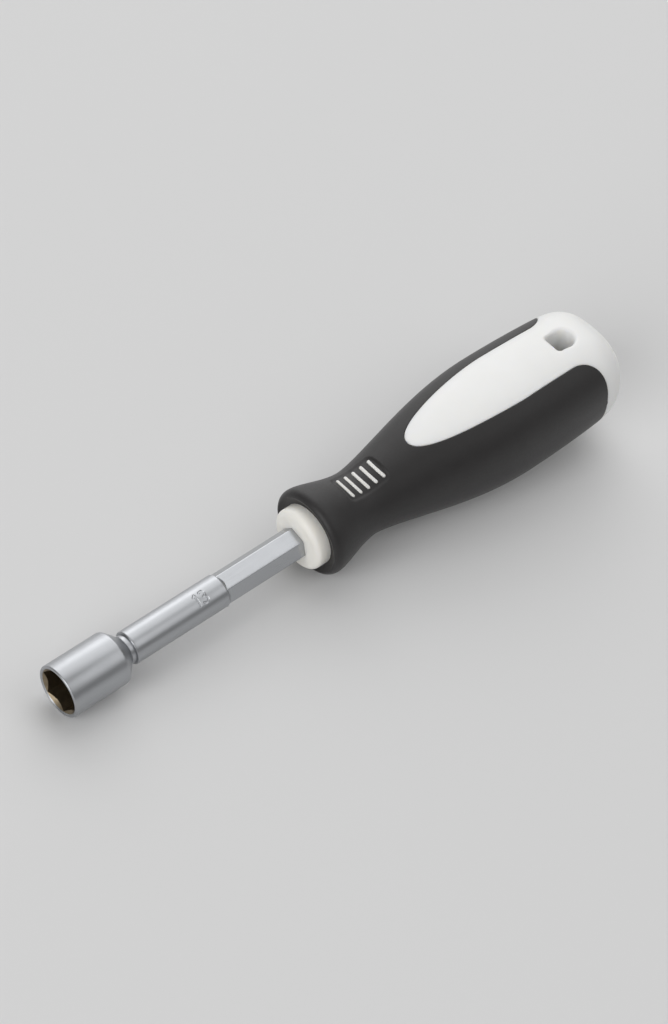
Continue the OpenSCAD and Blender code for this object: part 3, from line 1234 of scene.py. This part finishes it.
@dataclass
class Grip:
    """Soft overmould: a sleeve round the waist that goes on as two side panels between the tongues.

    Rows and columns stand closer together on the sunk pad and along the border of the panels. The panel's
    run is given in shares of the tongue's edge, with the rows up to each.
    """

    tool: ToolFrame
    form: HandleForm
    tongue: Tongue
    finish: SoftGrip
    bore_r: float = 10.45
    dish: float = 0.9
    edge_round: float = 0.4
    pad_mid: float = 21.0
    pad_half_len: float = 8.2
    pad_half_w: float = 5.6
    pad_corner: float = 1.8
    pad_depth: float = 0.4
    pad_slope: float = 0.6
    sharp_deg: float = 60.0
    columns: int = 100
    edge_columns: int = 16
    edge_band: float = 0.065
    edge_crowd: float = 1.3
    face_rows: int = 9
    lip_rows: int = 12
    pad_run: tuple[float, float] = (11.0, 32.0)
    tip_lead: float = 0.9
    sleeve_rows: tuple[int, ...] = (0, 12, 60, 9, 7)
    panel_run: tuple[float, ...] = (0.0, 0.015, 0.05, 0.985, 0.993, 1.0)
    panel_rows: tuple[int, ...] = (0, 8, 10, 96, 2, 5)
    border_points: int = 2400
    border_step: int = 4

    def across(self) -> Array:
        """Shares of the way from the upper edge to the lower edge, closer together at both.

        Returns:
            Rising shares.
        """
        near = self.edge_band * np.linspace(0.0, 1.0, self.edge_columns) ** self.edge_crowd
        middle = np.linspace(near[-1], 1.0 - near[-1], self.columns - 2 * (self.edge_columns - 1))
        return np.concatenate([near, middle[1:-1], 1.0 - near[::-1]])

    def sleeve(self, share: Array) -> tuple[Array, Array]:
        """Sleeve in front of the tongue's tip, and before it the front face, dished by d (1 - way^2).

        Args:
            share: Shares across one half, from the upper to the lower middle line.

        Returns:
            Points of the front face and of the sleeve.
        """
        angle = RIGHT_ANGLE * (1.0 - 2.0 * share)
        way = np.linspace(0.0, 1.0, self.face_rows + 1)[:-1, None]
        radius = self.bore_r + (self.form.lip_w / 2.0 - self.bore_r) * way
        depth = self.dish * (1.0 - way ** 2)
        face = joined(self.form.front + depth, radius * np.cos(angle), radius * np.sin(angle))
        lip = self.form.flare_at * (1.0 - np.cos(quarter(self.lip_rows)))
        tip = self.tongue.tip_at
        stops = (self.form.flare_at, *self.pad_run, tip - self.tip_lead, tip)
        h = np.concatenate([lip, stretches(*zip(stops, self.sleeve_rows))[1:]])
        return face, self.form.skin(h[:, None], angle)

    def panel(self, share: Array) -> Array:
        """Side panel behind the tongue's tip: angle = (1 - 2c) times the edge's, rows bent to the rear edge.

        Args:
            share: Shares across the panel.

        Returns:
            Points of the panel, without its first row.
        """
        run = stretches(*zip(self.panel_run, self.panel_rows))[1:]
        edge = self.tongue.edge(run)
        rear = self.tongue.rear_edge()
        edge_angle, rear_angle = (self.form.angle_at(line[:, 0], line[:, 1]) for line in (edge, rear))
        angle = (1.0 - 2.0 * share) * edge_angle[:, None]
        order = np.argsort(rear_angle)
        bow = np.interp(np.abs(angle[-1]), rear_angle[order], rear[order, 0]) - edge[-1, 0]
        return self.form.skin(edge[:, :1] + run[:, None] * bow, angle)

    def border(self) -> Array:
        """Border of one panel and the tip of the tongue, on both faces.

        Returns:
            Points (s, y, z), close together.
        """
        edge = self.tongue.edge(np.linspace(0.0, 1.0, self.border_points))
        h, y = np.concatenate([edge, self.tongue.rear_edge()[::self.border_step]]).T
        upper = self.form.skin(h, self.form.angle_at(h, y))
        return np.concatenate([upper, upper * MIRROR_Z])

    def sunk(self, points: Array) -> Array:
        """Depth below the form: a round edge along the border, and a sunk pad round the bars.

        The edge drops by e (1 - d/e)^2 at a distance d; the pad's depth follows the distance inside a rounded
        rectangle.

        Args:
            points: Points of the outer skin.

        Returns:
            Depths.
        """
        flat = points.reshape(-1, 3)
        edge = np.clip(1.0 - nearest(flat, self.border()) / self.edge_round, 0.0, 1.0)
        along = np.abs(flat[:, 0] - self.form.front - self.pad_mid) - (self.pad_half_len - self.pad_corner)
        aside = np.abs(flat[:, 1]) - (self.pad_half_w - self.pad_corner)
        outside = np.hypot(np.clip(along, 0.0, None), np.clip(aside, 0.0, None))
        inside = self.pad_corner - outside - np.minimum(np.maximum(along, aside), 0.0)
        depth = self.edge_round * edge ** 2 + self.pad_depth * ease(inside / self.pad_slope)
        return depth.reshape(points.shape[:2])

    def build(self) -> None:
        """Builds and dresses the grip: both halves of its skin, the wall on the core, the walls between."""
        share = self.across()
        face, sleeve = self.sleeve(share)
        skin = np.concatenate([sleeve, self.panel(share)])
        tip = len(sleeve) - 1
        radius = np.hypot(skin[..., 1], skin[..., 2])
        sunk = self.sunk(skin)
        sunk[tip:, [0, -1]] = self.edge_round
        sunk[-1] = self.edge_round
        scale = 1.0 - sunk / radius
        outer = np.concatenate([face, skin * joined(1.0, scale, scale)])
        core = self.form.core_radius(skin[..., 0] - self.form.front) / radius
        inner = skin * joined(1.0, core, core)
        inner[0, :, 0] += self.dish
        plan = MeshPlan()
        for half in Half:
            side = np.array([1.0, half.value, 1.0])
            out = plan.grid(outer * side)
            back = plan.grid(inner * side)
            plan.strip(np.stack([out[0], back[0]]))
            rim = out[len(face):]
            plan.strip(np.stack([rim[-1], back[-1]]))
            for column in (0, -1):
                plan.strip(np.stack([rim[tip:, column], back[tip:, column]]))
        piece = plan.build("soft_grip", self.tool, self.sharp_deg)
        dress(piece, self.finish.material(), "grip")


# Stage


@dataclass(frozen=True)
class Lamp:
    """Square soft light that faces the tool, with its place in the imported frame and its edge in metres."""

    name: str
    place: tuple[float, float, float]
    size: float
    watts: float

    def hang(self) -> None:
        """Adds the light to the scene."""
        data = bpy.data.lights.new(self.name, "AREA")
        data.shape, data.size, data.energy = "SQUARE", self.size, self.watts
        lamp = bpy.data.objects.new(self.name, data)
        lamp.location = self.place
        lamp.rotation_euler = (-Vector(self.place)).to_track_quat("-Z", "Y").to_euler()
        bpy.context.scene.collection.objects.link(lamp)


@dataclass
class Studio:
    """Pale floor, soft lights and the camera at the photograph's viewing angle.

    The camera stands at eye and looks at aim, in the tool's own axes, with a roll against the tool's own up.
    Its focal length is in pixels of an image that is image_h high. It sees the sky's light at the strength
    backdrop.
    """

    tool: ToolFrame
    eye: tuple[float, float, float] = (-430.6, -547.2, 907.4)
    aim: tuple[float, float, float] = (107.0, 0.0, 2.65)
    roll: float = np.radians(4.53)
    image_h: float = 1024.0
    focal: float = 3900.0
    sensor: float = 36.0
    clip: tuple[float, float] = (0.05, 50.0)
    floor_size: float = 16.0
    floor_colour: str = "D8D8D8"
    floor_rough: float = 0.7
    sky_colour: str = "FFFFFF"
    sky: float = 0.24
    backdrop: float = 0.75
    lamps: tuple[Lamp, ...] = (
        Lamp("key", (1.47, 1.39, 2.6), 3.8, 54.0),
        Lamp("back_strip", (1.44, 2.56, 1.2), 2.6, 22.0),
        Lamp("top_fill", (1.5, -2.0, 2.6), 2.4, 18.0),
        Lamp("front_fill", (-2.9, -0.7, 1.8), 2.6, 66.0),
    )

    def camera(self) -> None:
        """Places the camera."""
        data = bpy.data.cameras.new("camera")
        data.sensor_fit = "VERTICAL"
        data.sensor_height = self.sensor
        data.lens = self.focal / self.image_h * self.sensor
        data.clip_start, data.clip_end = self.clip
        eye, aim = (Vector(self.tool.place(np.array(p))) for p in (self.eye, self.aim))
        ahead = (aim - eye).normalized()
        right = ahead.cross(Vector(self.tool.axes[2])).normalized()
        up = right.cross(ahead)
        turned = right * np.cos(self.roll) + up * np.sin(self.roll)
        columns = Matrix((turned, turned.cross(ahead), -ahead)).transposed()
        camera = bpy.data.objects.new("camera", data)
        camera.matrix_world = Matrix.Translation(eye) @ columns.to_4x4()
        bpy.context.scene.collection.objects.link(camera)
        bpy.context.scene.camera = camera

    def floor(self) -> None:
        """Lays a plain pale floor under the tool."""
        half = self.floor_size / 2.0
        mesh = bpy.data.meshes.new("floor")
        corners = [(-half, -half, 0.0), (half, -half, 0.0), (half, half, 0.0), (-half, half, 0.0)]
        mesh.from_pydata(corners, [], [(0, 1, 2, 3)])
        material, tree, shader = blank_material("pale_floor")
        plug(tree, shader, {"Base Color": linear(self.floor_colour), "Roughness": self.floor_rough})
        mesh.materials.append(material)
        floor = bpy.data.objects.new("floor", mesh)
        bpy.context.scene.collection.objects.link(floor)

    def world(self) -> None:
        """Sets an even light from all round, which the camera sees at a strength of its own."""
        world = bpy.data.worlds.new("studio")
        world.use_nodes = True
        tree = world.node_tree
        seen = add_node(tree, "ShaderNodeLightPath").outputs["Is Camera Ray"]
        level = add_node(
            tree, "ShaderNodeMapRange", {"Value": seen, "To Min": self.sky, "To Max": self.backdrop}
        )
        plug(tree, tree.nodes["Background"], {"Color": linear(self.sky_colour), "Strength": level})
        bpy.context.scene.world = world

    def build(self) -> None:
        """Sets up view, world, floor, lights and camera."""
        bpy.context.scene.view_settings.view_transform = "Standard"
        self.world()
        self.floor()
        for lamp in self.lamps:
            lamp.hang()
        self.camera()


def main() -> None:
    """Builds the tool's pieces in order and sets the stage."""
    logging.basicConfig(level=logging.INFO, format="%(message)s")
    tool = ToolFrame.from_record(frame["record"])
    form = HandleForm()
    tongue = Tongue(form)
    blade = Blade(tool, SatinChrome(tool.tilt))
    assemblies = [
        blade,
        Core(tool, form, blade, MouldedPlastic("cream_polypropylene", ("F4F2EC", "EFECE4"))),
        Shell(tool, form, tongue, MouldedPlastic("white_polypropylene", ("F2F2F1", "EDEDEB"))),
        Grip(tool, form, tongue, SoftGrip()),
    ]
    for assembly in assemblies:
        assembly.build()
    Studio(tool).build()


if __name__ == "__main__":
    main()
